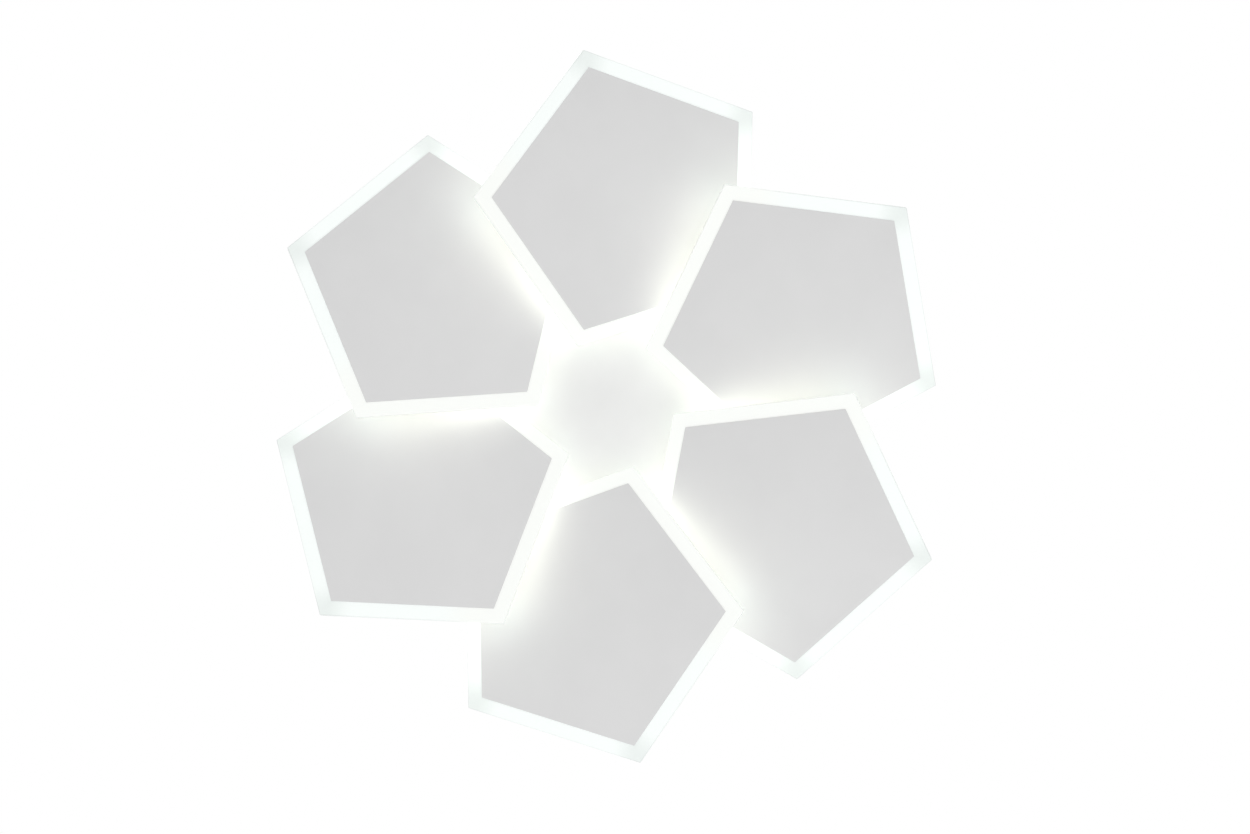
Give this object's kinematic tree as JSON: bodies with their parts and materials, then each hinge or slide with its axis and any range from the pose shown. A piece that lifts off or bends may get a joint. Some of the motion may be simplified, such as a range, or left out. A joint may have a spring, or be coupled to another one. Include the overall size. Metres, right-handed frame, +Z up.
{
  "type": "ceiling light",
  "caption": "Ceiling light with tilted, overlapping five-sided LED heads that glow at their acrylic rims, carried on bent arms by a round canopy.",
  "frame": {"origin": "centre of the ceiling bracket's top face, which lies on the ceiling", "axes": "+Z up into the ceiling, the lamp hangs in -Z; +X from the lamp's axis towards the first head; +Y along the ceiling bracket"},
  "size_m": [0.6976, 0.6655, 0.1043],
  "materials": {
    "plate_white": "matt white powder coat",
    "canopy_white": "satin white powder coat",
    "lit_acrylic": "frosted edge-lit acrylic",
    "led_aluminium": "mill-finished aluminium with white LED boards",
    "zinc_steel": "zinc plated",
    "bracket_steel": "galvanised",
    "lead_sheath": "white PVC sheath",
    "plug_nylon": "natural nylon",
    "driver_white": "white moulded polycarbonate",
    "circuit_green": "glass-epoxy board with green solder mask",
    "component_black": "black sleeves and epoxy",
    "terminal_grey": "light grey polyamide",
    "button_green": "green polyamide",
    "button_blue": "blue polyamide",
    "button_brown": "brown polyamide",
    "clip_bronze": "phosphor bronze spring strip",
    "wire_insulation": "PVC insulation",
    "lug_tin": "tin-plated copper"
  },
  "bodies": {
    "bracket": {"ceiling_bracket": "bracket_steel", "side_screws": "zinc_steel"},
    "canopy": {"arm_1": "canopy_white", "arm_2": "canopy_white", "arm_3": "canopy_white", "arm_4": "canopy_white", "arm_5": "canopy_white", "arm_6": "canopy_white", "canopy": "canopy_white", "canopy_nuts": "zinc_steel", "arm_locknuts": "zinc_steel", "stem_nuts": "zinc_steel", "head_leads": "lead_sheath", "lead_plugs": "plug_nylon", "driver_base": "driver_white", "driver_lid": "driver_white", "driver_circuit_board": "circuit_green", "driver_components": "component_black", "driver_screws": "zinc_steel", "output_board": "circuit_green", "output_sockets": "plug_nylon", "terminal_block": "terminal_grey", "terminal_clips": "clip_bronze", "mains_wires": "wire_insulation", "earth_lug": "lug_tin"},
    "head_1": {"head_1_front_plate": "plate_white", "head_1_light_guide": "lit_acrylic", "head_1_led_bars": "led_aluminium", "head_1_back_tray": "plate_white", "head_1_plate_nuts": "zinc_steel"},
    "head_2": {"head_2_front_plate": "plate_white", "head_2_light_guide": "lit_acrylic", "head_2_led_bars": "led_aluminium", "head_2_back_tray": "plate_white", "head_2_plate_nuts": "zinc_steel"},
    "head_3": {"head_3_front_plate": "plate_white", "head_3_light_guide": "lit_acrylic", "head_3_led_bars": "led_aluminium", "head_3_back_tray": "plate_white", "head_3_plate_nuts": "zinc_steel"},
    "head_4": {"head_4_front_plate": "plate_white", "head_4_light_guide": "lit_acrylic", "head_4_led_bars": "led_aluminium", "head_4_back_tray": "plate_white", "head_4_plate_nuts": "zinc_steel"},
    "head_5": {"head_5_front_plate": "plate_white", "head_5_light_guide": "lit_acrylic", "head_5_led_bars": "led_aluminium", "head_5_back_tray": "plate_white", "head_5_plate_nuts": "zinc_steel"},
    "head_6": {"head_6_front_plate": "plate_white", "head_6_light_guide": "lit_acrylic", "head_6_led_bars": "led_aluminium", "head_6_back_tray": "plate_white", "head_6_plate_nuts": "zinc_steel"},
    "earth_button": {"earth_button": "button_green"},
    "neutral_button": {"neutral_button": "button_blue"},
    "line_button": {"line_button": "button_brown"}
  },
  "joints": [
    {"name": "canopy_turn", "type": "hinge", "parent": "bracket", "child": "canopy", "pos_m": [0, 0, 0], "axis": [0, 0, 1], "range_deg": [0, 8]},
    {"name": "head_1_turn", "type": "hinge", "parent": "canopy", "child": "head_1", "pos_m": [0.208, 0, -0.082], "axis": [0.0908, -0.156, 0.9836], "range_deg": [-6.1, 3.9]},
    {"name": "head_2_turn", "type": "hinge", "parent": "canopy", "child": "head_2", "pos_m": [0.104, 0.18013, -0.082], "axis": [0.1805, 0.0006, 0.9836], "range_deg": [-6.6, 3.4]},
    {"name": "head_3_turn", "type": "hinge", "parent": "canopy", "child": "head_3", "pos_m": [-0.104, 0.18013, -0.082], "axis": [0.0897, 0.1566, 0.9836], "range_deg": [-4.4, 5.6]},
    {"name": "head_4_turn", "type": "hinge", "parent": "canopy", "child": "head_4", "pos_m": [-0.208, 0, -0.082], "axis": [-0.0908, 0.156, 0.9836], "range_deg": [-3.7, 6.3]},
    {"name": "head_5_turn", "type": "hinge", "parent": "canopy", "child": "head_5", "pos_m": [-0.104, -0.18013, -0.082], "axis": [-0.1805, -0.0006, 0.9836], "range_deg": [-2.1, 7.9]},
    {"name": "head_6_turn", "type": "hinge", "parent": "canopy", "child": "head_6", "pos_m": [0.104, -0.18013, -0.082], "axis": [-0.0897, -0.1566, 0.9836], "range_deg": [-7.2, 2.8]},
    {"name": "earth_button_press", "type": "slide", "parent": "canopy", "child": "earth_button", "axis": [0, 0, -1], "range_m": [0, 0.002], "stiffness_N_per_m": 1500},
    {"name": "neutral_button_press", "type": "slide", "parent": "canopy", "child": "neutral_button", "axis": [0, 0, -1], "range_m": [0, 0.002], "stiffness_N_per_m": 1500},
    {"name": "line_button_press", "type": "slide", "parent": "canopy", "child": "line_button", "axis": [0, 0, -1], "range_m": [0, 0.002], "stiffness_N_per_m": 1500}
  ]
}
